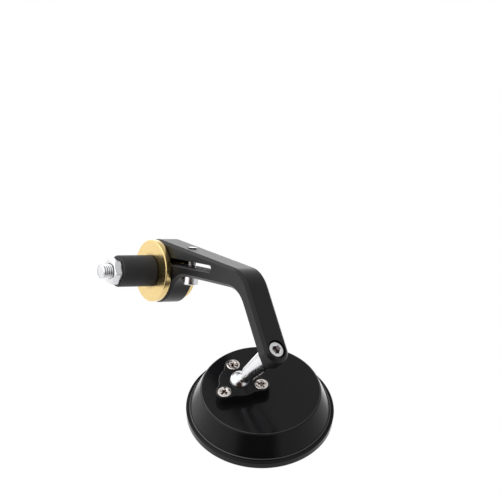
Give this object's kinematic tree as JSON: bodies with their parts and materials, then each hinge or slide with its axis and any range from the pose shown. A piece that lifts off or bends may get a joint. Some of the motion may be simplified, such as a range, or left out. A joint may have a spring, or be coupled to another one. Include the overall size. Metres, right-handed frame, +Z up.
{
  "type": "motorcycle bar end mirror",
  "caption": "Round motorcycle bar end mirror on a cranked black clamp arm, with gold hub flanges, a rubber expanding bar plug and a chrome ball stem.",
  "frame": {"origin": "on the bar's axis, in the plane of the hub flange's inner face, which seats on the handlebar's end", "axes": "+X along the bar's axis, outwards from the bar's end, so the plug points along -X; -Y the way the upper arm runs; +Z up, square to both, with the knee turning down towards -Z"},
  "size_m": [0.0938, 0.1345, 0.0968],
  "materials": {
    "gold_anodised": "turned, gold anodised, semi-bright",
    "black_anodised": "machined, black anodised, satin",
    "black_gloss_anodised": "turned, black anodised, semi-gloss",
    "zinc_steel": "zinc plated, bright",
    "chrome_steel": "chrome plated, polished",
    "spring_steel": "hardened, dull",
    "sleeve_rubber": "moulded, matt",
    "nylon": "moulded, matt",
    "foam": "closed-cell foam, matt",
    "mirror_glass": "silvered convex glass, polished"
  },
  "bodies": {
    "hub": {"end_hub": "gold_anodised", "end_cap": "gold_anodised", "expander_bolt": "zinc_steel", "bolt_washer": "zinc_steel", "expander_sleeve": "sleeve_rubber", "expander_nut": "zinc_steel"},
    "arm": {"arm": "black_anodised", "pinch_bolt": "chrome_steel", "stem_screw": "chrome_steel"},
    "stem": {"ball_stem": "chrome_steel"},
    "seat": {"ball_seat": "nylon", "spring_washer": "spring_steel"},
    "head": {"socket_plate": "black_anodised", "plate_screw_1": "chrome_steel", "plate_screw_2": "chrome_steel", "plate_screw_3": "chrome_steel", "head_housing": "black_gloss_anodised", "glass_pad": "foam", "mirror_glass": "mirror_glass", "bezel_ring": "black_gloss_anodised"}
  },
  "joints": [
    {"name": "arm_clock", "type": "hinge", "parent": "hub", "child": "arm", "pos_m": [0, 0, 0], "axis": [1, 0, 0], "continuous": true},
    {"name": "stem_swivel", "type": "hinge", "parent": "arm", "child": "stem", "pos_m": [0.01065, -0.08201, -0.04103], "axis": [0, -0.766, 0.6428], "range_deg": [-75, 75]},
    {"name": "head_tilt", "type": "hinge", "parent": "stem", "child": "seat", "pos_m": [0.01065, -0.08201, -0.04103], "axis": [-0.7431, -0.4301, -0.5126], "range_deg": [-76, 14]},
    {"name": "head_spin", "type": "hinge", "parent": "seat", "child": "head", "pos_m": [0.01065, -0.08201, -0.04103], "axis": [-0.3446, -0.4106, 0.8442], "range_deg": [-70, 70]}
  ]
}
